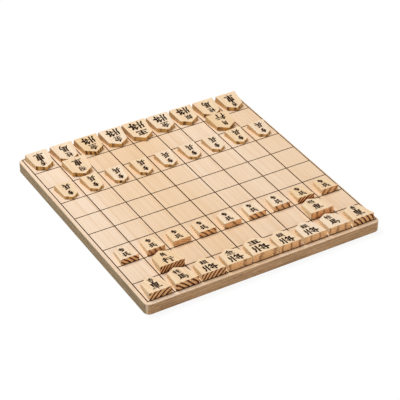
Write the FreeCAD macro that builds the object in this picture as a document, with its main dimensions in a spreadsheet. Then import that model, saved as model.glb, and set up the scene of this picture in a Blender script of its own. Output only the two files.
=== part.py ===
import FreeCAD, Part
import os
import Sketcher

# A shogi board with its forty pieces, set up for play. Millimetres, +Z up. The origin is the middle
# of the board's underside. +X is the near player's right hand, and +Y points to the far player.

SIZES = {
    # The slab of the board.
    "board_thickness": 13.0,
    "side_margin": 3.4,         # grid's outer line to the board's edge, left and right
    "end_margin": 4.1,          # the same, at the two players' ends
    "corner_radius": 6.3,       # the slab's upright corners
    "edge_round": 1.4,          # the slab's top and bottom edges
    # The ruled grid: lacquer lines laid flush in shallow grooves.
    "line_width": 1.2,
    "line_depth": 0.2,
    "grid_shift_right": 1.0,    # the ruling sits this far off the slab's middle
    "grid_shift_far": 1.2,
    # A square is as wide as the widest piece, and as deep as the longest piece that stands behind
    # another, plus these gaps.
    "file_gap": 0.8,
    "rank_gap": 1.7,
    "foot_inset": 0.6,          # a piece's foot, inside its square's line
    # The seven ranks of piece: width across the foot, foot to tip, and thickness at the foot.
    "pawn_width": 20.5,
    "pawn_length": 25.0,
    "pawn_thickness": 6.4,
    "lance_width": 25.8,
    "lance_length": 28.2,
    "lance_thickness": 7.9,
    "knight_width": 26.4,
    "knight_length": 28.8,
    "knight_thickness": 7.9,
    "silver_width": 27.6,
    "silver_length": 28.7,
    "silver_thickness": 7.8,
    "gold_width": 27.6,
    "gold_length": 28.7,
    "gold_thickness": 7.9,
    "bishop_width": 28.0,
    "bishop_length": 28.6,
    "bishop_thickness": 7.9,
    "rook_width": 28.0,
    "rook_length": 28.6,
    "rook_thickness": 7.9,
    "king_width": 29.2,
    "king_length": 31.2,
    "king_thickness": 8.5,
    # Angles that the pieces share, in degrees.
    "side_taper": 6.5,
    "roof_slope": 30.5,
    "top_slope": 7.8,
    "foot_lean": 5.0,
    "piece_edge": 0.45,         # round on a piece's upper and upright edges
}

KINDS = ("pawn", "lance", "knight", "silver", "gold", "bishop", "rook", "king")
# Only these stand straight behind another piece, so only they set the depth of a square.
BACKED = ("pawn", "lance", "knight", "silver", "gold", "bishop", "rook")
SQUARES = 9
MIDDLE_FILE = 5
HALF_GRID = SQUARES / 2
OVERCUT = 2.0                   # how far a cutter reaches past the piece it trims

# Who stands where: for each side, the rank counted from that player's own end, and the kind on each
# file, counted from the near player's left.
SET_UP = {
    "near": {
        1: {1: "lance", 2: "knight", 3: "silver", 4: "gold", 5: "king",
            6: "silver", 7: "silver", 8: "knight", 9: "lance"},
        2: {2: "bishop", 8: "rook"},
        3: {number: "pawn" for number in range(1, SQUARES + 1)},
    },
    "far": {
        1: {1: "lance", 2: "knight", 3: "gold", 4: "gold", 5: "king",
            6: "gold", 7: "silver", 8: "knight", 9: "lance"},
        2: {2: "rook", 8: "bishop"},
        3: {number: "pawn" for number in range(1, SQUARES + 1)},
    },
}
# How far a hand has set these pieces off their places: to the near player's right, and away from them.
STEPS = {"near_bishop": (0.9, 0.0), "near_rook": (-0.6, 0.0), "far_king": (-0.3, -2.8)}

doc = FreeCAD.newDocument("shogi_board")
sheet = doc.addObject("Spreadsheet::Sheet", "Sizes")
for row, (name, value) in enumerate(SIZES.items(), start=1):
    sheet.set(f"A{row}", name)
    sheet.set(f"B{row}", str(value))
    sheet.setAlias(f"B{row}", name)
doc.recompute()

widest = "; ".join(f"Sizes.{kind}_width" for kind in KINDS)
longest = "; ".join(f"Sizes.{kind}_length" for kind in BACKED)
FILE_PITCH = f"(max({widest}) + Sizes.file_gap)"
RANK_PITCH = f"(max({longest}) + Sizes.rank_gap)"
GRID_WIDTH = f"{SQUARES} * {FILE_PITCH}"
GRID_LENGTH = f"{SQUARES} * {RANK_PITCH}"


def size(name):
    return float(sheet.get(name))


def plane(body, role):
    return next(item for item in body.Origin.OriginFeatures if item.Role == role)


def new_sketch(body, name, role):
    sketch = body.newObject("Sketcher::SketchObject", f"{body.Name}_{name}")
    sketch.AttachmentSupport = [(plane(body, role), "")]
    sketch.MapMode = "FlatFace"
    return sketch


def close_loop(sketch, points):
    """Draw straight edges through the points and join each to the next."""
    corners = [FreeCAD.Vector(x, y, 0) for x, y in points]
    count = len(corners)
    edges = [Part.LineSegment(corners[i], corners[(i + 1) % count]) for i in range(count)]
    first = sketch.addGeometry(edges, False)[0]
    for i in range(count):
        sketch.addConstraint(
            Sketcher.Constraint("Coincident", first + i, 2, first + (i + 1) % count, 1)
        )


def fix(sketch, expression, *constraint):
    """Add one driving dimension to a sketch and bind it to the sheet."""
    index = sketch.addConstraint(Sketcher.Constraint(*constraint))
    sketch.setExpression(f"Constraints[{index}]", expression)


def centred_rectangle(body, name, width, length, guess):
    """A rectangle about the sketch's own middle. Its sizes are expressions, guess only starts them."""
    sketch = new_sketch(body, name, "XY_Plane")
    half_x, half_y = guess[0] / 2, guess[1] / 2
    close_loop(sketch, [(-half_x, -half_y), (half_x, -half_y), (half_x, half_y), (-half_x, half_y)])
    for edge, direction in enumerate(("Horizontal", "Vertical", "Horizontal", "Vertical")):
        sketch.addConstraint(Sketcher.Constraint(direction, edge))
    sketch.addConstraint(Sketcher.Constraint("Symmetric", 0, 1, 1, 2, -1, 1))
    fix(sketch, width, "DistanceX", 0, 1, 0, 2, guess[0])
    fix(sketch, length, "DistanceY", 1, 1, 1, 2, guess[1])
    return sketch


def pad(body, sketch, name, height):
    feature = body.newObject("PartDesign::Pad", f"{body.Name}_{name}")
    feature.Profile = sketch
    feature.setExpression("Length", height)
    return feature


def pocket(body, sketch, name, depth=None):
    """Cut a sketch into the body: to a depth below it, or both ways through everything."""
    feature = body.newObject("PartDesign::Pocket", f"{body.Name}_{name}")
    feature.Profile = sketch
    if depth is None:
        feature.Type = "ThroughAll"
        feature.SideType = "Symmetric"
    else:
        feature.setExpression("Length", depth)
    return feature


def round_edges(body, name, base, chosen, radius):
    """Round those edges of a feature that the test picks."""
    doc.recompute()
    edges = [f"Edge{n}" for n, edge in enumerate(base.Shape.Edges, start=1) if chosen(edge)]
    feature = body.newObject("PartDesign::Fillet", f"{body.Name}_{name}")
    feature.Base = (base, edges)
    feature.setExpression("Radius", radius)
    return feature


def along(body, name, original, axis, length):
    """Repeat one line's feature across the grid, once for each line."""
    feature = body.newObject("PartDesign::LinearPattern", f"{body.Name}_{name}")
    feature.Originals = [original]
    feature.Direction = (plane(body, axis), [""])
    feature.setExpression("Length", length)
    feature.Occurrences = SQUARES + 1
    body.Tip = feature
    return feature


def is_level(edge):
    return edge.BoundBox.ZLength < 1e-6


def is_upright(edge):
    box = edge.BoundBox
    return box.ZLength > max(box.XLength, box.YLength)


# --- The board -----------------------------------------------------------------------------------

def grid_line(body, direction, base_height):
    """The sketch of the first line of a set: a file's line runs along Y, a rank's along X."""
    if direction == "file":
        sketch = centred_rectangle(
            body, "file_line", "Sizes.line_width", f"{GRID_LENGTH} + Sizes.line_width", (1, 270)
        )
        offset_x = f"Sizes.grid_shift_right - {HALF_GRID} * {FILE_PITCH}"
        offset_y = "Sizes.grid_shift_far"
    else:
        sketch = centred_rectangle(
            body, "rank_line", f"{GRID_WIDTH} + Sizes.line_width", "Sizes.line_width", (270, 1)
        )
        offset_x = "Sizes.grid_shift_right"
        offset_y = f"Sizes.grid_shift_far - {HALF_GRID} * {RANK_PITCH}"
    sketch.setExpression("AttachmentOffset.Base.x", offset_x)
    sketch.setExpression("AttachmentOffset.Base.y", offset_y)
    sketch.setExpression("AttachmentOffset.Base.z", base_height)
    return sketch


def make_board():
    body = doc.addObject("PartDesign::Body", "board_slab")
    outline = centred_rectangle(
        body,
        "outline",
        f"{GRID_WIDTH} + 2 * Sizes.side_margin",
        f"{GRID_LENGTH} + 2 * Sizes.end_margin",
        (277, 283),
    )
    slab = pad(body, outline, "slab", "Sizes.board_thickness")
    corners = round_edges(body, "corners", slab, is_upright, "Sizes.corner_radius")
    eased = round_edges(body, "eased_edges", corners, is_level, "Sizes.edge_round")
    doc.recompute()
    whole = eased.Shape.Volume
    for direction, axis, length in (
        ("file", "X_Axis", GRID_WIDTH),
        ("rank", "Y_Axis", GRID_LENGTH),
    ):
        sketch = grid_line(body, direction, "Sizes.board_thickness")
        groove = pocket(body, sketch, f"{direction}_groove", "Sizes.line_depth")
        along(body, f"{direction}_grooves", groove, axis, length)
    doc.recompute()
    if not body.Shape.Volume < whole:
        raise RuntimeError("the grooves cut nothing from the board")


def make_grid_lines():
    body = doc.addObject("PartDesign::Body", "grid_lines")
    for direction, axis, length in (
        ("file", "X_Axis", GRID_WIDTH),
        ("rank", "Y_Axis", GRID_LENGTH),
    ):
        sketch = grid_line(body, direction, "Sizes.board_thickness - Sizes.line_depth")
        line = pad(body, sketch, f"{direction}_bar", "Sizes.line_depth")
        along(body, f"{direction}_bars", line, axis, length)
    doc.recompute()


# --- The pieces ----------------------------------------------------------------------------------

def outline_sketch(body, kind):
    """A piece seen from above: foot on the X axis, tip up the Y axis."""
    width, length = size(f"{kind}_width"), size(f"{kind}_length")
    sketch = new_sketch(body, "outline", "XY_Plane")
    shoulder_x, shoulder_y = 0.42 * width, 0.79 * length      # a start for the solver
    close_loop(sketch, [
        (-width / 2, 0), (width / 2, 0), (shoulder_x, shoulder_y), (0, length), (-shoulder_x, shoulder_y)
    ])
    foot, right_side, right_roof, left_roof = range(4)
    sketch.addConstraint(Sketcher.Constraint("Horizontal", foot))
    sketch.addConstraint(Sketcher.Constraint("Symmetric", foot, 1, foot, 2, -1, 1))
    sketch.addConstraint(Sketcher.Constraint("PointOnObject", right_roof, 2, -2))
    sketch.addConstraint(Sketcher.Constraint("Symmetric", right_side, 2, left_roof, 2, -2))
    fix(sketch, f"Sizes.{kind}_width", "DistanceX", foot, 1, foot, 2, width)
    fix(sketch, f"Sizes.{kind}_length", "DistanceY", -1, 1, right_roof, 2, length)
    fix(sketch, "(90 + Sizes.side_taper) * 1 deg", "Angle", right_side, 1.65)
    fix(sketch, "(180 - Sizes.roof_slope) * 1 deg", "Angle", right_roof, 2.6)
    return sketch


def waste_sketch(body, kind):
    """The wood planed off a piece, from the side: behind its leaning foot and above its top."""
    length, thickness = size(f"{kind}_length"), size(f"{kind}_thickness")
    sketch = new_sketch(body, "waste", "YZ_Plane")
    past_tip, above, behind = length + OVERCUT, thickness + OVERCUT, -OVERCUT
    close_loop(sketch, [
        (0, 0), (0.1 * thickness, thickness), (past_tip, thickness / 2),
        (past_tip, above), (behind, above), (behind, 0),
    ])
    foot, top, front, ceiling, back, floor = range(6)
    sketch.addConstraint(Sketcher.Constraint("Coincident", foot, 1, -1, 1))
    for edge in (front, back):
        sketch.addConstraint(Sketcher.Constraint("Vertical", edge))
    for edge in (ceiling, floor):
        sketch.addConstraint(Sketcher.Constraint("Horizontal", edge))
    fix(sketch, "(90 - Sizes.foot_lean) * 1 deg", "Angle", foot, 1.5)
    fix(sketch, f"Sizes.{kind}_thickness", "DistanceY", foot, 1, foot, 2, thickness)
    fix(sketch, "-Sizes.top_slope * 1 deg", "Angle", top, -0.1)
    fix(sketch, f"Sizes.{kind}_length + {OVERCUT}", "DistanceX", -1, 1, front, 1, past_tip)
    fix(sketch, f"Sizes.{kind}_thickness + {OVERCUT}", "DistanceY", -1, 1, ceiling, 1, above)
    fix(sketch, f"{OVERCUT}", "DistanceX", back, 1, -1, 1, OVERCUT)
    return sketch


def is_off_the_board(edge):
    return edge.BoundBox.ZMax > 1e-6


def make_piece(name, kind):
    body = doc.addObject("PartDesign::Body", name)
    blank = pad(body, outline_sketch(body, kind), "blank", f"Sizes.{kind}_thickness")
    doc.recompute()
    planed = pocket(body, waste_sketch(body, kind), "planed")
    doc.recompute()
    if not planed.Shape.Volume < blank.Shape.Volume:
        raise RuntimeError(f"{name} was not planed")
    body.Tip = round_edges(body, "edges", planed, is_off_the_board, "Sizes.piece_edge")
    return body


def set_down(body, side, rank, number, kind):
    """Stand a piece on its square, its tip towards the other player."""
    step_right, step_away = STEPS.get(f"{side}_{kind}", (0.0, 0.0))
    across = f"{number - MIDDLE_FILE} * {FILE_PITCH} + Sizes.grid_shift_right + {step_right}"
    lines_away = HALF_GRID - (rank - 1)
    if side == "near":
        foot = f"Sizes.grid_shift_far - {lines_away} * {RANK_PITCH} + Sizes.foot_inset"
    else:
        # A far piece is pushed up until its tip is as near its square's front line.
        foot = (
            f"Sizes.grid_shift_far + {lines_away - 1} * {RANK_PITCH}"
            f" + Sizes.{kind}_length + Sizes.foot_inset"
        )
        body.Placement.Rotation = FreeCAD.Rotation(FreeCAD.Vector(0, 0, 1), 180)
    body.setExpression("Placement.Base.x", across)
    body.setExpression("Placement.Base.y", f"{foot} + {step_away}")
    body.setExpression("Placement.Base.z", "Sizes.board_thickness")


make_board()
make_grid_lines()
for side, ranks in SET_UP.items():
    for rank, squares in ranks.items():
        for number, kind in squares.items():
            piece = make_piece(f"{side}_{kind}_{number}", kind)
            set_down(piece, side, rank, number, kind)
doc.recompute()

bodies = [item for item in doc.Objects if item.TypeId == "PartDesign::Body"]
for item in doc.Objects:
    if "Invalid" in item.State or "Error" in item.State:
        raise RuntimeError(f"{item.Name} failed: {item.State}")
for body in bodies:
    shape = body.Shape
    if shape.isNull() or not shape.isValid() or len(shape.Solids) != 1:
        raise RuntimeError(f"{body.Label} is not one sound solid")

os.makedirs("parts", exist_ok=True)
for body in bodies:
    body.Shape.exportStep(f"parts/{body.Label}.step")
print(f"{len(bodies)} nodes written")
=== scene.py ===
import math
import random

import bpy
from mathutils import Matrix, Vector


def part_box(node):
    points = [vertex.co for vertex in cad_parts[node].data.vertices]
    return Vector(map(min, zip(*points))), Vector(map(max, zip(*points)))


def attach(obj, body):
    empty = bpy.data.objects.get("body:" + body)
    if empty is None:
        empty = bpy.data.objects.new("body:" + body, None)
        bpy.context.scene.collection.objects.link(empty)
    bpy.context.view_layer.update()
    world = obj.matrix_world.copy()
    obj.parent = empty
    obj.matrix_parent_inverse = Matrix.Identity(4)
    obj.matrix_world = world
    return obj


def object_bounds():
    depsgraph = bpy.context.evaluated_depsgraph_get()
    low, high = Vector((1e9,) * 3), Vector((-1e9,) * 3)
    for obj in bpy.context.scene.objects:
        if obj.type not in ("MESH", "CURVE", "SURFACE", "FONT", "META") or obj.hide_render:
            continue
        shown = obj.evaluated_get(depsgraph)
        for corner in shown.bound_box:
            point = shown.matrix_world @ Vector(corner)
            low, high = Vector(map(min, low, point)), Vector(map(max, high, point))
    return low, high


# The looks of a shogi board set up for play: pale wood with its grain and growth rings, lacquered
# lines, and each piece's rank brushed on it. Metres, in the CAD's own frame.

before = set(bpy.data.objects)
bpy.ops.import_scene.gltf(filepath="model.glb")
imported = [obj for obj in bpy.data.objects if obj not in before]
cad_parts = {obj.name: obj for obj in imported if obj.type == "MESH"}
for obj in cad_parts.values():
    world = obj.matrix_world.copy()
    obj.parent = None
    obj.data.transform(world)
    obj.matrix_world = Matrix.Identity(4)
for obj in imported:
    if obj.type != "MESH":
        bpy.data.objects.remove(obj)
CAD_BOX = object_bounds()

MM = 0.001
BOARD = "board_slab"
LINES = "grid_lines"
PIECES = sorted(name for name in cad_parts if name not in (BOARD, LINES))


# --- Camera --------------------------------------------------------------------------------------

IMAGE_SIDE = 400                        # pixels
FOCAL_LENGTH = 1561.3                   # pixels of that image
SENSOR = 36.0                           # millimetres
CAMERA_PLACE = Vector((-0.7007, -1.1401, 0.9678))
CAMERA_HEADING = 31.81                  # degrees to the right of +Y
CAMERA_DIP = 35.88                      # degrees below level
CAMERA_ROLL = 1.33                      # degrees
CAMERA_REACH = 20                       # metres, past the floor's far edge


def turn(degrees, axis):
    return Matrix.Rotation(math.radians(degrees), 4, axis)


def add_camera():
    data = bpy.data.cameras.new("camera")
    data.sensor_width = SENSOR
    data.lens = FOCAL_LENGTH / IMAGE_SIDE * SENSOR
    data.clip_end = CAMERA_REACH
    camera = bpy.data.objects.new("camera", data)
    camera.matrix_world = (
        Matrix.Translation(CAMERA_PLACE)
        @ turn(-CAMERA_HEADING, "Z") @ turn(90 - CAMERA_DIP, "X") @ turn(CAMERA_ROLL, "Z")
    )
    bpy.context.scene.collection.objects.link(camera)
    bpy.context.scene.camera = camera


# --- Node helpers --------------------------------------------------------------------------------

def srgb(red, green, blue):
    """A colour as screens write it, 0 to 255, as the linear colour that shaders take."""
    def linear(value):
        value /= 255
        return value / 12.92 if value <= 0.04045 else ((value + 0.055) / 1.055) ** 2.4
    return (linear(red), linear(green), linear(blue), 1.0)


def grey(level):
    return (level, level, level, 1.0)


class Nodes:
    """Short calls that add shader nodes. An input is a number, a colour, a vector or another output."""

    def __init__(self, owner):
        self.owner = owner
        owner.use_nodes = True
        self.tree = owner.node_tree
        self.tree.nodes.clear()

    def add(self, kind, inputs=(), **settings):
        made = self.tree.nodes.new(kind)
        for name, value in settings.items():
            setattr(made, name, value)
        for socket, value in dict(inputs).items():
            if isinstance(value, bpy.types.NodeSocket):
                self.tree.links.new(value, made.inputs[socket])
            else:
                made.inputs[socket].default_value = value
        return made

    def place_and_facing(self):
        """The place in the object's own space, and how far its surface looks along each axis."""
        coordinates = self.add("ShaderNodeTexCoord")
        facing = self.vector("ABSOLUTE", coordinates.outputs["Normal"])
        return coordinates.outputs["Object"], self.add("ShaderNodeSeparateXYZ", {0: facing}).outputs

    def math(self, operation, *values, clamp=False):
        made = self.add("ShaderNodeMath", enumerate(values), operation=operation, use_clamp=clamp)
        return made.outputs[0]

    def vector(self, operation, *values):
        made = self.add("ShaderNodeVectorMath", enumerate(values), operation=operation)
        return made.outputs["Value" if operation in ("LENGTH", "DOT_PRODUCT") else "Vector"]

    def mix(self, share, first, second):
        made = self.add("ShaderNodeMix", data_type="RGBA")
        for socket, value in ((0, share), (6, first), (7, second)):
            if isinstance(value, bpy.types.NodeSocket):
                self.tree.links.new(value, made.inputs[socket])
            else:
                made.inputs[socket].default_value = value
        return made.outputs[2]

    def noise(self, place, scale, detail=2.0):
        """Smooth noise from 0 to 1. The scale is per metre along X, Y and Z."""
        stretched = self.vector("MULTIPLY", place, scale)
        made = self.add("ShaderNodeTexNoise", {"Vector": stretched, "Scale": 1.0, "Detail": detail})
        return made.outputs["Fac"]

    def ramp(self, value, *stops):
        """Grey levels between stops, each a position and a level."""
        made = self.add("ShaderNodeValToRGB", {"Fac": value})
        levels = made.color_ramp.elements
        while len(levels) < len(stops):
            levels.new(0.5)
        for element, (position, level) in zip(levels, stops):
            element.position = position
            element.color = grey(level)
        return made.outputs["Color"]

    def between(self, value, low, high):
        """0 up to low, 1 from high, and smooth between them."""
        made = self.add(
            "ShaderNodeMapRange", {"Value": value, "From Min": low, "From Max": high},
            interpolation_type="SMOOTHSTEP",
        )
        return made.outputs["Result"]

    def streaks(self, place, kinds):
        """The sum of several kinds of streak, each a noise, the levels it shows between, its strength."""
        total = 0.0
        for scale, detail, low, high, strength in kinds:
            shown = self.between(self.noise(place, scale, detail), low, high)
            total = self.math("ADD", total, self.math("MULTIPLY", shown, strength))
        return total

    def finish(self, colour, roughness, height=None, depth=0.0, **fixed):
        """End the material in one shader with these fixed settings, and give the material back."""
        shader = self.add("ShaderNodeBsdfPrincipled", {"Base Color": colour, "Roughness": roughness})
        for name, value in fixed.items():
            shader.inputs[name.replace("_", " ")].default_value = value
        if height is not None:
            bump = self.add("ShaderNodeBump", {"Height": height, "Distance": depth, "Strength": 1.0})
            self.tree.links.new(bump.outputs["Normal"], shader.inputs["Normal"])
        output = self.add("ShaderNodeOutputMaterial")
        self.tree.links.new(shader.outputs["BSDF"], output.inputs["Surface"])
        return self.owner


# --- Wood ----------------------------------------------------------------------------------------

SHEEN_TINT = srgb(255, 214, 168)        # of the gloss on the oiled wood and on the lacquer

BOARD_PALE = srgb(247, 224, 200)
BOARD_WARM = srgb(239, 206, 168)
BOARD_GRAIN = srgb(222, 180, 134)
BOARD_END_PALE = srgb(216, 175, 133)
BOARD_END_DARK = srgb(148, 110, 74)
# The board's left and right sides: long-grain layers, darker and greyer than the top by painted shade.
SHADED_SIDE_PALE = srgb(190, 165, 126)
SHADED_SIDE_DARK = srgb(132, 106, 70)
BOARD_WIDTH = CAD_BOX[1][0] - CAD_BOX[0][0]
# Places across the board, from 0 at its left edge to 1, and how warm its wood is there. It is warmest
# left of the middle, and warm again at the right edge.
WARMTH = ((0.0, 0.0), (0.1, 0.08), (0.37, 0.92), (0.47, 0.82), (0.56, 0.42), (0.75, 0.2), (1.0, 0.72))
WARMTH_DRIFT = 0.9                      # how much clouds in the wood shift its warmth

# Each piece is cut from one of these woods.
WOODS = {"straw": srgb(246, 219, 180), "plain": srgb(250, 227, 194), "cream": srgb(252, 234, 210)}
PIECE_TAN = srgb(236, 196, 150)
PIECE_GRAIN = srgb(222, 172, 118)
# Long sides take painted shade, deeper on the far player's pieces, whose ends are more golden than the
# near's.
PAINTED_SIDE_SHADE = {"near": srgb(246, 220, 174), "far": srgb(214, 168, 94)}
SIDE_SHADE_SHARE = 0.55                       # how much of that painted shade the long sides take
END_PALE = {"near": srgb(255, 197, 138), "far": srgb(232, 182, 110)}
END_DARK = {"near": srgb(90, 40, 8), "far": srgb(92, 50, 4)}

# A wood's noise is given as its waves per metre along X, Y and Z, and its detail. The grain runs along
# Y, so there it has the fewest waves.
BOARD_CLOUDS = ((30, 9, 30), 2.0)
BOARD_FIBRES = ((2600, 60, 2600), 2.0)
PIECE_CLOUDS = ((60, 25, 60), 2.0)
PIECE_FIBRES = ((2400, 110, 2400), 2.0)
RING_DRIFT = ((120, 16, 120), 2.0)

# Streaks are such noises, each with the levels that it shows between and its strength: broad bands,
# growth lines and fibres on the board's top, layers and thin layers on its sides, and flecks in the
# pieces' ends.
TOP_STREAKS = (
    ((230, 3.5, 230), 3.0, 0.42, 0.72, 0.30),
    ((800, 9, 800), 2.0, 0.45, 0.75, 0.34),
    (*BOARD_FIBRES, 0.5, 0.8, 0.16),
)
SIDE_STREAKS = (
    ((22, 22, 850), 2.0, 0.3, 0.7, 0.6),
    ((170, 170, 1900), 2.0, 0.35, 0.65, 0.4),
)
FACE_FIBRES = ((*PIECE_FIBRES, 0.5, 0.8, 0.14),)
END_FLECKS = (((520, 60, 520), 3.0, 0.42, 0.7, 0.3),)

# How squarely a face looks along an axis, as the part of its normal between which its colour turns.
BOARD_TO_END = (0.6, 0.9)
BOARD_TO_SHADED_SIDE = (0.72, 0.94)
PIECE_TO_END = (0.35, 0.7)
PIECE_TO_SHADED_SIDE = (0.6, 0.9)

WOOD_RELIEF = 0.02 * MM                 # the depth of the fibres


def board_wood():
    """Straight-grained wood: its grain runs from one player to the other, in layers up its edges."""
    nodes = Nodes(bpy.data.materials.new("board_wood"))
    place, facing = nodes.place_and_facing()

    x = nodes.add("ShaderNodeSeparateXYZ", {0: place}).outputs["X"]
    across = nodes.math("ADD", nodes.math("DIVIDE", x, BOARD_WIDTH), 0.5)
    clouds = nodes.math("SUBTRACT", nodes.noise(place, *BOARD_CLOUDS), 0.5)
    warmth = nodes.math(
        "ADD", nodes.ramp(across, *WARMTH), nodes.math("MULTIPLY", clouds, WARMTH_DRIFT), clamp=True,
    )
    tone = nodes.mix(warmth, BOARD_PALE, BOARD_WARM)
    top = nodes.mix(nodes.streaks(place, TOP_STREAKS), tone, BOARD_GRAIN)

    layered = nodes.streaks(place, SIDE_STREAKS)
    end = nodes.mix(layered, BOARD_END_PALE, BOARD_END_DARK)
    # The left and right sides take painted shade, darker and greyer than the top.
    side = nodes.mix(layered, SHADED_SIDE_PALE, SHADED_SIDE_DARK)
    colour = nodes.mix(nodes.between(facing["Y"], *BOARD_TO_END), top, end)
    colour = nodes.mix(nodes.between(facing["X"], *BOARD_TO_SHADED_SIDE), colour, side)
    return nodes.finish(
        colour, 0.5, nodes.noise(place, *BOARD_FIBRES), WOOD_RELIEF,
        Specular_IOR_Level=0.12, Specular_Tint=SHEEN_TINT, Coat_Weight=0.03, Coat_Roughness=0.3,
    )


LACQUER_DARK = srgb(62, 38, 18)
LACQUER_WORN = srgb(90, 58, 32)
LACQUER_WEAR = ((700, 700, 700), 3.0)
LACQUER_RELIEF = 0.01 * MM
INK_FULL = srgb(40, 21, 4)
INK_THIN = srgb(64, 38, 13)
INK_CLOUDS = ((900, 900, 900), 3.0)


def line_lacquer():
    """Dark brown lacquer, worn a little paler in places."""
    nodes = Nodes(bpy.data.materials.new("line_lacquer"))
    place = nodes.add("ShaderNodeTexCoord").outputs["Object"]
    worn = nodes.noise(place, *LACQUER_WEAR)
    colour = nodes.mix(nodes.between(worn, 0.45, 0.75), LACQUER_DARK, LACQUER_WORN)
    return nodes.finish(
        colour, 0.6, worn, LACQUER_RELIEF, Specular_IOR_Level=0.05, Specular_Tint=SHEEN_TINT,
    )


def mark_ink():
    """Black brown lacquer from a brush, thinner and duller in places."""
    nodes = Nodes(bpy.data.materials.new("mark_ink"))
    place = nodes.add("ShaderNodeTexCoord").outputs["Object"]
    thin = nodes.noise(place, *INK_CLOUDS)
    colour = nodes.mix(nodes.between(thin, 0.5, 0.8), INK_FULL, INK_THIN)
    gloss = nodes.add("ShaderNodeMapRange", {"Value": thin, "To Min": 0.3, "To Max": 0.55})
    return nodes.finish(colour, gloss.outputs[0], Specular_IOR_Level=0.05, Specular_Tint=SHEEN_TINT)


# Each piece's wood, and how the growth rings cross its foot and roof, seen from the near player: the
# lean of the rings in degrees from level, their spacing and how far right of the middle one of them
# crosses, both in millimetres, how much of a ring is dark late wood, and how dark that is, from 0 to 1.
SAWN = {
    "near_lance_1": ("plain", 41, 4.4, 4.0, 0.45, 1.00),
    "near_knight_2": ("plain", -42, 4.2, 3.5, 0.48, 1.00),
    "near_silver_3": ("plain", 48, 3.8, -5.0, 0.50, 1.00),
    "near_gold_4": ("plain", 84, 17.8, -11.5, 0.18, 0.50),
    "near_king_5": ("plain", 86, 15.8, -4.6, 0.24, 0.48),
    "near_silver_6": ("plain", 88, 10.0, 0.8, 0.26, 0.58),
    "near_silver_7": ("cream", 88, 10.2, -4.6, 0.20, 0.45),
    "near_knight_8": ("cream", 87, 9.8, -2.6, 0.26, 0.48),
    "near_lance_9": ("plain", -53, 4.2, 5.7, 0.45, 1.00),
    "near_bishop_2": ("straw", 50, 3.2, 1.4, 0.50, 1.00),
    "near_rook_8": ("plain", 88, 8.0, -6.0, 0.32, 0.52),
    "near_pawn_1": ("cream", -42, 3.9, 2.6, 0.48, 1.00),
    "near_pawn_2": ("plain", -62, 4.9, 5.2, 0.40, 0.70),
    "near_pawn_3": ("straw", -18, 2.6, 0.0, 0.40, 0.30),
    "near_pawn_4": ("plain", -44, 4.5, -3.5, 0.40, 0.80),
    "near_pawn_5": ("cream", -42, 9.5, 2.0, 0.30, 0.60),
    "near_pawn_6": ("cream", -47, 4.7, -1.2, 0.38, 0.80),
    "near_pawn_7": ("cream", -60, 5.7, -5.6, 0.34, 0.72),
    "near_pawn_8": ("straw", 38, 3.2, 0.4, 0.50, 0.95),
    "near_pawn_9": ("straw", 52, 6.3, -8.0, 0.42, 0.66),
    "far_lance_1": ("cream", -84, 6.0, -3.7, 0.35, 0.65),
    "far_knight_2": ("cream", 85, 9.8, -9.9, 0.30, 0.70),
    "far_gold_3": ("straw", -82, 4.0, -10.0, 0.50, 0.85),
    "far_gold_4": ("cream", 86, 9.5, -6.8, 0.25, 0.60),
    "far_king_5": ("plain", 84, 14.0, -10.0, 0.25, 0.40),
    "far_gold_6": ("cream", -86, 6.5, -1.3, 0.30, 0.55),
    "far_silver_7": ("plain", 83, 9.0, -6.5, 0.35, 0.70),
    "far_knight_8": ("plain", -85, 10.0, -10.2, 0.30, 0.50),
    "far_lance_9": ("plain", 80, 6.6, -2.2, 0.40, 0.75),
    "far_rook_2": ("plain", -80, 7.6, 7.0, 0.35, 0.70),
    "far_bishop_8": ("straw", 84, 16.0, -9.7, 0.40, 0.60),
    "far_pawn_1": ("plain", 82, 5.3, 0.0, 0.35, 0.50),
    "far_pawn_2": ("plain", -84, 5.4, -2.5, 0.35, 0.50),
    "far_pawn_3": ("cream", 80, 5.2, -2.9, 0.45, 0.85),
    "far_pawn_4": ("plain", -80, 4.0, -2.5, 0.40, 0.75),
    "far_pawn_5": ("cream", 83, 7.5, -2.8, 0.35, 0.60),
    "far_pawn_6": ("cream", -82, 4.0, -1.3, 0.35, 0.55),
    "far_pawn_7": ("cream", 84, 6.0, -1.0, 0.30, 0.50),
    "far_pawn_8": ("plain", -83, 7.8, -5.8, 0.35, 0.60),
    "far_pawn_9": ("cream", 82, 5.5, -5.0, 0.40, 0.60),
}
HEART_DISTANCE = 60 * MM                # from a piece to the middle of the tree it came from
RING_SLANT = 0.05                       # how far the rings may run out of line with the piece
RING_WAVER = 0.5                        # how far a ring may waver, in spacings


def ring_darkness(late):
    """Stops across one ring: the wood darkens slowly into the late wood, and is pale soon after it."""
    return (
        (0.0, 0.0), (0.5 - 0.7 * late, 0.05), (0.5 - 0.15 * late, 0.9), (0.5 + 0.4 * late, 1.0),
        (0.54 + 0.5 * late, 0.0),
    )


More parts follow.
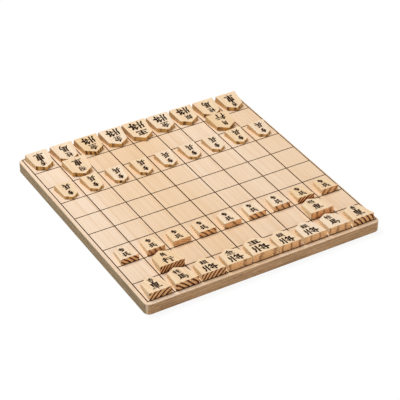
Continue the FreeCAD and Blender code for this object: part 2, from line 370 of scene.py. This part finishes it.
def piece_wood(name, seed):
    """Wood whose rings run along the piece: stripes on its foot and roof, faint lines on the rest."""
    side = name.split("_")[0]
    wood, lean, spacing, crossing, late, darkness = SAWN[name]
    low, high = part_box(name)
    angle = math.radians(lean)
    spacing *= MM
    towards_heart = Vector((math.sin(angle), 0, -math.cos(angle))) * HEART_DISTANCE
    heart = (low + high) / 2 + towards_heart
    phase = 0.5 - (Vector((crossing * MM, 0, 0)) - towards_heart).length / spacing
    nodes = Nodes(bpy.data.materials.new(f"wood_{name}"))
    place, facing = nodes.place_and_facing()
    place = nodes.vector("SUBTRACT", place, tuple(heart))

    slant = seed.uniform(-RING_SLANT, RING_SLANT)
    from_heart = nodes.vector("LENGTH", nodes.vector("MULTIPLY", place, (1, slant, 1)))
    drift = nodes.math("SUBTRACT", nodes.noise(place, *RING_DRIFT), 0.5)
    rings = nodes.math("ADD", nodes.math("DIVIDE", from_heart, spacing), phase % 1)
    rings = nodes.math("ADD", rings, nodes.math("MULTIPLY", drift, RING_WAVER))
    ring = nodes.ramp(nodes.math("FRACT", rings), *ring_darkness(late))
    fibres = nodes.noise(place, *PIECE_FIBRES)

    clouds = nodes.noise(place, *PIECE_CLOUDS)
    face = nodes.mix(nodes.math("MULTIPLY", clouds, 0.6), WOODS[wood], PIECE_TAN)
    lines = nodes.math("MULTIPLY", ring, 0.06 + 0.2 * darkness)
    lines = nodes.math("ADD", lines, nodes.streaks(place, FACE_FIBRES))
    face = nodes.mix(lines, face, PIECE_GRAIN)
    # The long sides take painted shade, deeper on the far player's pieces.
    sideways = nodes.between(facing["X"], *PIECE_TO_SHADED_SIDE)
    face = nodes.mix(nodes.math("MULTIPLY", sideways, SIDE_SHADE_SHARE), face, PAINTED_SIDE_SHADE[side])

    dark = nodes.math("MULTIPLY", ring, darkness)
    dark = nodes.math("ADD", dark, nodes.math("MULTIPLY", fibres, 0.12))
    dark = nodes.math("ADD", dark, nodes.streaks(place, END_FLECKS), clamp=True)
    end = nodes.mix(dark, END_PALE[side], END_DARK[side])
    colour = nodes.mix(nodes.between(facing["Y"], *PIECE_TO_END), face, end)
    return nodes.finish(
        colour, 0.52, fibres, WOOD_RELIEF, Specular_IOR_Level=0.14, Specular_Tint=SHEEN_TINT,
    )


def paint(name, material):
    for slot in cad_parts[name].material_slots:
        slot.material = material


# --- Rank marks ----------------------------------------------------------------------------------

# How wide the brush's line is along its way, from start to end, as shares of its full width.
BRUSH = {
    "bar": ((0, 0.8), (0.2, 0.54), (0.55, 0.46), (0.85, 0.7), (1, 0.9)),
    "post": ((0, 1.2), (0.2, 1.0), (0.75, 0.95), (1, 1.05)),
    "needle": ((0, 1.2), (0.2, 1.05), (0.7, 0.95), (1, 0.1)),
    "fall": ((0, 1.3), (0.3, 1.1), (0.7, 0.75), (1, 0.1)),
    "press": ((0, 0.45), (0.45, 0.95), (0.8, 1.55), (1, 0.15)),
    "dot": ((0, 0.4), (0.45, 1.05), (0.8, 1.35), (1, 0.9)),
    "flick": ((0, 0.95), (0.5, 0.55), (1, 0.05)),
}

# The game's own rank characters in plain block strokes, on a field ten wide and ten high. Each has
# the width of its brush, and then its strokes: the brush's way of moving, and the points on its way.
CHARACTERS = {
    "walk": (1.2, (
        ("post", 5.0, 9.9, 5.0, 6.6), ("bar", 5.2, 8.2, 8.0, 8.5), ("post", 2.8, 8.8, 2.9, 6.5),
        ("bar", 0.6, 6.2, 9.4, 6.8), ("post", 5.1, 5.7, 5.1, 2.9), ("flick", 5.1, 3.0, 4.0, 3.6),
        ("fall", 3.1, 5.2, 2.4, 4.2, 1.2, 3.3), ("dot", 6.6, 5.3, 8.4, 3.8),
        ("fall", 7.9, 3.6, 5.6, 1.3, 1.3, 0.1),
    )),
    "soldier": (1.05, (
        ("fall", 7.5, 9.7, 5.3, 9.0, 2.6, 8.6), ("post", 2.9, 9.0, 2.9, 4.0), ("bar", 3.2, 6.4, 7.9, 6.8),
        ("post", 6.3, 6.6, 6.3, 4.0), ("bar", 0.4, 3.6, 9.6, 4.1), ("fall", 3.7, 3.1, 2.8, 1.6, 0.8, 0.2),
        ("dot", 6.1, 3.0, 7.5, 1.9, 9.1, 0.4),
    )),
    "incense": (0.9, (
        ("fall", 6.9, 9.9, 5.0, 9.2, 2.9, 8.9), ("bar", 0.9, 7.5, 9.1, 8.0), ("post", 5.0, 9.2, 5.0, 4.9),
        ("fall", 4.8, 7.6, 3.2, 5.8, 0.5, 4.6), ("press", 5.2, 7.5, 7.0, 5.9, 9.8, 4.7),
        ("post", 2.9, 4.3, 2.9, 0.2), ("bar", 2.9, 4.2, 7.2, 4.4), ("post", 7.2, 4.4, 7.2, 0.2),
        ("bar", 3.1, 2.4, 7.0, 2.5), ("bar", 3.1, 0.5, 7.0, 0.6),
    )),
    "carriage": (0.9, (
        ("bar", 1.9, 8.2, 8.2, 8.6), ("bar", 2.4, 6.9, 7.7, 7.2), ("fall", 2.5, 7.2, 2.4, 5.0, 1.9, 3.4),
        ("post", 7.6, 7.1, 7.1, 3.9), ("bar", 2.8, 5.3, 7.2, 5.5), ("bar", 2.6, 3.6, 7.2, 3.8),
        ("bar", 0.5, 1.8, 9.6, 2.3), ("needle", 5.0, 10.0, 5.0, -0.6),
    )),
    "laurel": (0.95, (
        ("bar", 0.2, 7.0, 4.2, 7.4), ("post", 2.6, 9.9, 2.5, 0.4), ("fall", 2.4, 6.9, 1.6, 4.9, 0.1, 3.4),
        ("dot", 2.9, 5.9, 4.1, 4.6), ("bar", 5.3, 8.3, 9.3, 8.7), ("post", 7.3, 9.9, 7.3, 6.4),
        ("bar", 5.0, 6.2, 9.7, 6.6), ("bar", 5.4, 4.0, 9.2, 4.3), ("post", 7.3, 5.8, 7.3, 1.0),
        ("bar", 4.8, 0.6, 10.0, 1.0),
    )),
    "horse": (0.85, (
        ("post", 3.0, 9.7, 2.9, 4.6), ("bar", 3.0, 9.5, 7.7, 9.8), ("post", 5.5, 9.6, 5.5, 4.8),
        ("bar", 3.1, 7.8, 7.3, 8.1), ("bar", 3.0, 6.2, 7.3, 6.4), ("bar", 2.8, 4.6, 8.7, 4.9),
        ("post", 8.9, 4.8, 9.2, 2.6, 8.0, 0.2), ("flick", 8.0, 0.2, 6.6, 1.2),
        ("fall", 2.8, 4.4, 2.0, 2.6, 0.3, 0.7), ("dot", 3.5, 3.5, 4.0, 2.2), ("dot", 4.9, 3.6, 5.4, 2.4),
        ("dot", 6.3, 3.7, 6.9, 2.7),
    )),
    "silver": (0.85, (
        ("fall", 2.6, 9.9, 1.7, 8.2, 0.0, 6.9), ("press", 2.7, 9.4, 3.5, 8.3, 4.6, 7.4),
        ("bar", 1.3, 6.8, 3.8, 7.1), ("bar", 0.6, 4.9, 4.2, 5.3), ("post", 2.5, 7.2, 2.4, 1.3),
        ("dot", 0.9, 4.0, 1.4, 2.8), ("dot", 3.9, 4.2, 3.3, 2.9), ("bar", 0.1, 0.6, 4.6, 1.5),
        ("bar", 5.8, 9.2, 8.8, 9.5), ("post", 8.8, 9.5, 8.7, 5.4), ("bar", 5.9, 7.4, 8.6, 7.6),
        ("bar", 5.9, 5.5, 8.6, 5.7), ("post", 5.8, 9.3, 5.8, 0.9), ("flick", 5.7, 0.7, 7.3, 2.1),
        ("flick", 9.4, 4.5, 7.5, 3.1), ("press", 6.9, 5.2, 8.1, 2.2, 10.4, -0.2),
    )),
    "general": (0.8, (
        ("post", 0.8, 9.2, 0.7, 6.4), ("bar", 0.4, 6.1, 2.8, 6.4), ("post", 1.0, 6.2, 0.9, 3.0, 0.2, 0.6),
        ("post", 3.0, 9.9, 2.9, 0.1), ("fall", 6.0, 10.0, 5.2, 8.2, 3.8, 6.7), ("bar", 5.9, 8.9, 8.5, 9.2),
        ("fall", 8.5, 9.2, 7.5, 7.0, 5.0, 5.3), ("dot", 5.9, 8.0, 6.8, 7.0),
        ("press", 3.8, 3.8, 11.0, 4.5), ("post", 8.3, 5.7, 8.4, 0.2), ("flick", 8.4, 0.1, 6.6, 1.2),
        ("dot", 5.3, 3.1, 6.4, 1.9),
    )),
    "gold": (0.9, (
        ("fall", 5.0, 10.2, 3.4, 8.0, 0.2, 5.8), ("press", 5.1, 9.9, 6.9, 7.9, 9.9, 6.0),
        ("bar", 3.4, 6.2, 6.8, 6.4), ("bar", 2.3, 4.1, 8.0, 4.4), ("post", 5.0, 6.6, 5.0, 0.9),
        ("flick", 2.5, 3.4, 3.5, 1.9), ("flick", 7.8, 3.5, 6.6, 2.0), ("bar", 0.9, 0.5, 9.2, 0.8),
    )),
    "jewel": (1.35, (
        ("bar", 1.5, 8.7, 8.5, 9.1), ("bar", 1.9, 5.1, 8.0, 5.4), ("post", 5.0, 8.9, 5.0, 1.0),
        ("bar", 0.4, 0.7, 9.6, 1.2), ("dot", 6.7, 3.9, 8.0, 2.4),
    )),
    "king": (1.35, (
        ("bar", 1.5, 8.7, 8.5, 9.1), ("bar", 1.9, 5.1, 8.0, 5.4), ("post", 5.0, 8.9, 5.0, 1.0),
        ("bar", 0.4, 0.7, 9.6, 1.2),
    )),
    "corner": (0.95, (
        ("fall", 3.9, 10.0, 3.1, 8.5, 1.6, 7.2), ("bar", 3.6, 8.8, 6.6, 9.1),
        ("fall", 6.6, 9.1, 6.1, 8.2, 5.2, 7.4), ("fall", 2.4, 7.2, 2.3, 3.2, 0.7, 0.2),
        ("bar", 2.5, 7.1, 8.1, 7.4), ("post", 8.1, 7.4, 8.2, 0.3), ("flick", 8.2, 0.2, 6.8, 1.0),
        ("post", 5.2, 7.2, 5.2, 3.0), ("bar", 2.6, 5.2, 8.0, 5.4), ("bar", 2.5, 3.0, 8.0, 3.3),
    )),
    "go": (0.85, (
        ("fall", 3.4, 9.8, 2.5, 8.3, 0.7, 7.0), ("fall", 3.7, 7.1, 2.6, 5.2, 0.2, 3.6),
        ("post", 2.4, 5.2, 2.4, 0.0), ("bar", 5.0, 8.5, 9.1, 8.9), ("bar", 4.3, 5.7, 9.9, 6.1),
        ("post", 7.4, 5.9, 7.4, 0.2), ("flick", 7.4, 0.1, 5.7, 1.2),
    )),
    "fly": (0.75, (
        ("bar", 1.0, 9.1, 6.8, 9.5), ("press", 6.8, 9.5, 7.1, 7.3, 9.9, 5.9),
        ("fall", 9.2, 9.1, 8.6, 8.5, 7.7, 8.1), ("dot", 8.0, 8.0, 9.0, 7.2),
        ("fall", 4.2, 8.6, 2.8, 7.6, 0.8, 7.0), ("bar", 0.3, 5.0, 6.2, 5.4),
        ("fall", 2.6, 7.2, 2.5, 3.2, 0.5, 0.3), ("post", 4.7, 8.8, 4.7, 0.2), ("bar", 5.7, 4.7, 7.2, 4.9),
        ("press", 7.0, 4.9, 7.3, 1.9, 9.7, 0.4), ("fall", 9.2, 4.4, 8.6, 3.8, 7.8, 3.4),
        ("dot", 8.0, 3.3, 9.1, 2.5),
    )),
}

# On each rank's face, from the tip down: a character, its lowest and highest reach above the foot,
# its width, and how far the brush set it right of the middle, in millimetres.
FACES = {
    "pawn": (("walk", 13.9, 20.4, 5.8, -0.6), ("soldier", 3.5, 11.5, 8.2, -0.8)),
    "lance": (("incense", 18.1, 24.6, 6.4, 0.3), ("carriage", 3.8, 16.8, 10.8, 0.0)),
    "knight": (("laurel", 16.6, 23.4, 7.2, -1.1), ("horse", 4.8, 14.4, 10.8, -0.5)),
    "silver": (("silver", 16.1, 22.9, 7.8, -1.1), ("general", 3.1, 12.9, 14.2, 0.0)),
    "gold": (("gold", 16.0, 24.0, 10.0, -0.7), ("general", 3.6, 13.5, 14.6, 0.0)),
    "bishop": (("corner", 15.4, 22.7, 6.3, -0.3), ("go", 3.6, 12.7, 13.0, -0.8)),
    "rook": (("fly", 17.2, 23.9, 7.7, -0.9), ("carriage", 3.8, 14.6, 10.6, -0.4)),
    "near_king": (("jewel", 18.2, 25.2, 12.6, -1.0), ("general", 4.0, 14.4, 16.9, 0.0)),
    "far_king": (("king", 18.2, 25.2, 12.6, -1.0), ("general", 4.0, 14.4, 16.9, 0.0)),
}
FIELD = 10                              # the side of a character's field
BOLDNESS = 2.0                          # how full the brush was
SAMPLES = 9                             # cross-sections along a stroke
INK_HEIGHT = 0.07 * MM                  # how far the lacquer stands up from the wood
INK_ROOT = 0.05 * MM                    # how far it reaches into the wood
INK_STEP = 0.003 * MM                   # each stroke lies this much over the last one
SHOULDER = 0.8                          # how wide the lacquer still is at its top
END_ROUND = (35, 62, 82)                # degrees round a stroke's end, where its sections stand
TILT = 1.5                              # degrees that a mark may stand askew
NUDGE = 0.25                            # millimetres that it may stand off its place
LOOKS_UP = 0.9                          # the least upward part of a written face's normal


def along(points, share):
    """The place at a share of the way along a straight stroke, or a curved one of three points."""
    if len(points) == 2:
        return points[0].lerp(points[1], share)
    start, middle, end = points
    control = 2 * middle - (start + end) / 2
    return start.lerp(control, share).lerp(control.lerp(end, share), share)


def brush_width(profile, share):
    for (low, first), (high, last) in zip(profile, profile[1:]):
        if share <= high:
            return first + (last - first) * (share - low) / (high - low)
    return profile[-1][1]


def stroke_sections(kind, numbers, width, to_face):
    """A stroke's sections on the face, each its centre, its way across and half its width, ends rounded."""
    points = [Vector(pair) for pair in zip(numbers[::2], numbers[1::2])]
    way = [to_face(along(points, step / SAMPLES)) for step in range(SAMPLES + 1)]
    lengths = [0.0]
    for here, there in zip(way, way[1:]):
        lengths.append(lengths[-1] + (there - here).length)
    sections = []
    for step, (centre, distance) in enumerate(zip(way, lengths)):
        before, after = way[max(step - 1, 0)], way[min(step + 1, SAMPLES)]
        forward = (after - before).normalized()
        half = brush_width(BRUSH[kind], distance / lengths[-1]) * width / 2
        sections.append((centre, Vector((-forward.y, forward.x)), half))
    return round_end(sections[0], -1)[::-1] + sections + round_end(sections[-1], 1)


def round_end(section, sign):
    """Narrowing sections beyond one end of a stroke."""
    centre, sideways, half = section
    outward = Vector((sideways.y, -sideways.x)) * sign
    angles = [math.radians(angle) for angle in END_ROUND]
    return [(centre + outward * half * math.sin(a), sideways, half * math.cos(a)) for a in angles]


def top_plane(name):
    """A point and the upward normal of a piece's written face, its largest face that looks up."""
    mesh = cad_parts[name].data
    upward = (face for face in mesh.polygons if face.normal.z > LOOKS_UP)
    largest = max(upward, key=lambda face: face.area)
    return largest.center.copy(), largest.normal.copy()


def raise_stroke(verts, faces, sections, lift, on_piece):
    """One closed stroke: four points at each section, round from one edge to the other."""
    profile = ((-1, -INK_ROOT), (-SHOULDER, lift), (SHOULDER, lift), (1, -INK_ROOT))
    first = len(verts)
    for centre, sideways, half in sections:
        for reach, height in profile:
            verts.append(on_piece(centre + sideways * half * reach, height))
    last = len(verts) - len(profile)
    for row in range(first, last, len(profile)):
        for edge in range(len(profile)):
            here, after = row + edge, row + (edge + 1) % len(profile)
            faces.append((here, after, after + len(profile), here + len(profile)))
    faces.append(tuple(range(first, first + len(profile)))[::-1])
    faces.append(tuple(range(last, last + len(profile))))


def make_mark(name, ink, seed):
    """Both characters of a piece, as raised lacquer on its sloping face, read from its own side."""
    side, kind, _ = name.split("_")
    low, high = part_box(name)
    centre_x = (low.x + high.x) / 2
    foot_y, up_way = (low.y, 1) if side == "near" else (high.y, -1)
    point, normal = top_plane(name)
    tilt = turn(seed.uniform(-TILT, TILT), "Z").to_2x2()
    nudge = Vector((seed.uniform(-NUDGE, NUDGE), seed.uniform(-NUDGE, NUDGE))) * MM

    def on_piece(flat, height):
        """A place on the face, from the middle of its foot, that far above the wood."""
        x, y = centre_x + flat.x * up_way, foot_y + flat.y * up_way
        z = point.z - (normal.x * (x - point.x) + normal.y * (y - point.y)) / normal.z
        return (x, y, z + height)

    verts, faces = [], []
    layer = 0
    for character, bottom, top, width, shift in FACES.get(f"{side}_{kind}") or FACES[kind]:
        brush, strokes = CHARACTERS[character]
        scale = Vector((width, top - bottom)) * MM / FIELD
        line = BOLDNESS * brush * (scale.x + scale.y) / 2

        def to_face(field):
            across = (field.x - FIELD / 2) * scale.x + shift * MM
            return tilt @ Vector((across, bottom * MM + field.y * scale.y)) + nudge

        for way, *numbers in strokes:
            layer += 1
            sections = stroke_sections(way, numbers, line, to_face)
            raise_stroke(verts, faces, sections, INK_HEIGHT + layer * INK_STEP, on_piece)
    mesh = bpy.data.meshes.new(f"{name}_mark")
    mesh.from_pydata(verts, [], faces)
    mesh.materials.append(ink)
    mark = bpy.data.objects.new(f"{name}_mark", mesh)
    bpy.context.scene.collection.objects.link(mark)
    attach(mark, name)


# --- Light and floor -----------------------------------------------------------------------------

SKY = 0.26                              # the even light from all round
KEY_HEADING = 24.0                      # degrees to the left of +Y, seen from the board
KEY_HEIGHT = 64.0                       # degrees above level
KEY_DISTANCE = 2.0
KEY_SIDE = 0.95
KEY_POWER = 31.5
FILL_PLACE = Vector((0.1, -1.5, 0.5))
FILL_SIDE = 1.0
FILL_POWER = 5.5
FLOOR_SIDE = 8.0
FLOOR_DROP = 0.02 * MM                  # so that it doesn't share the underside's plane
FLOOR_TONE = 0.8                        # what light meets
FLOOR_WHITE = 0.9                       # what the eye meets: this much white of its own,
FLOOR_SHADED = 0.12                     # and this much that the lamps light and the board shades


def seen_rays(nodes):
    """1 for what the eye sees, straight or in a reflection or through glass, and 0 for other light."""
    path = nodes.add("ShaderNodeLightPath").outputs
    seen = nodes.math("MAXIMUM", path["Is Camera Ray"], path["Is Glossy Ray"])
    return nodes.math("MAXIMUM", seen, path["Is Transmission Ray"])


def add_lamp(name, place, side, power):
    """A square lamp that looks at the board's middle."""
    data = bpy.data.lights.new(name, "AREA")
    data.shape = "SQUARE"
    data.size = side
    data.energy = power
    lamp = bpy.data.objects.new(name, data)
    lamp.location = place
    lamp.rotation_euler = (-place).to_track_quat("-Z", "Y").to_euler()
    bpy.context.scene.collection.objects.link(lamp)


def light_scene():
    """White all round to the eye, an even dim light from it, a key lamp from behind and a low fill."""
    world = bpy.data.worlds.new("studio")
    bpy.context.scene.world = world
    nodes = Nodes(world)
    strength = nodes.mix(seen_rays(nodes), grey(SKY), grey(1))
    sky = nodes.add("ShaderNodeBackground", {"Color": grey(1), "Strength": strength})
    output = nodes.add("ShaderNodeOutputWorld")
    nodes.tree.links.new(sky.outputs[0], output.inputs["Surface"])

    key_place = turn(KEY_HEADING, "Z") @ turn(KEY_HEIGHT, "X") @ Vector((0, KEY_DISTANCE, 0))
    add_lamp("key", key_place, KEY_SIDE, KEY_POWER)
    add_lamp("fill", FILL_PLACE, FILL_SIDE, FILL_POWER)


def lay_floor():
    """A floor that looks white and keeps the board's shadow."""
    half = FLOOR_SIDE / 2
    mesh = bpy.data.meshes.new("floor")
    corners = [(-half, -half, 0), (half, -half, 0), (half, half, 0), (-half, half, 0)]
    mesh.from_pydata(corners, [], [(0, 1, 2, 3)])
    floor = bpy.data.objects.new("floor", mesh)
    floor.location.z = -FLOOR_DROP
    bpy.context.scene.collection.objects.link(floor)
    material = bpy.data.materials.new("floor")
    mesh.materials.append(material)
    nodes = Nodes(material)
    plain = nodes.add("ShaderNodeBsdfDiffuse", {"Color": grey(FLOOR_TONE)})
    shaded = nodes.add("ShaderNodeBsdfDiffuse", {"Color": grey(FLOOR_SHADED)})
    white = nodes.add("ShaderNodeEmission", {"Color": grey(FLOOR_WHITE), "Strength": 1.0})
    seen = nodes.add("ShaderNodeAddShader", {0: shaded.outputs[0], 1: white.outputs[0]})
    both = nodes.add(
        "ShaderNodeMixShader", {0: seen_rays(nodes), 1: plain.outputs[0], 2: seen.outputs[0]},
    )
    output = nodes.add("ShaderNodeOutputMaterial")
    nodes.tree.links.new(both.outputs[0], output.inputs["Surface"])


add_camera()
light_scene()
lay_floor()
paint(BOARD, board_wood())
paint(LINES, line_lacquer())
ink = mark_ink()
for number, name in enumerate(PIECES):
    seed = random.Random(number)
    paint(name, piece_wood(name, seed))
    make_mark(name, ink, seed)

bpy.context.scene.view_settings.view_transform = "Standard"
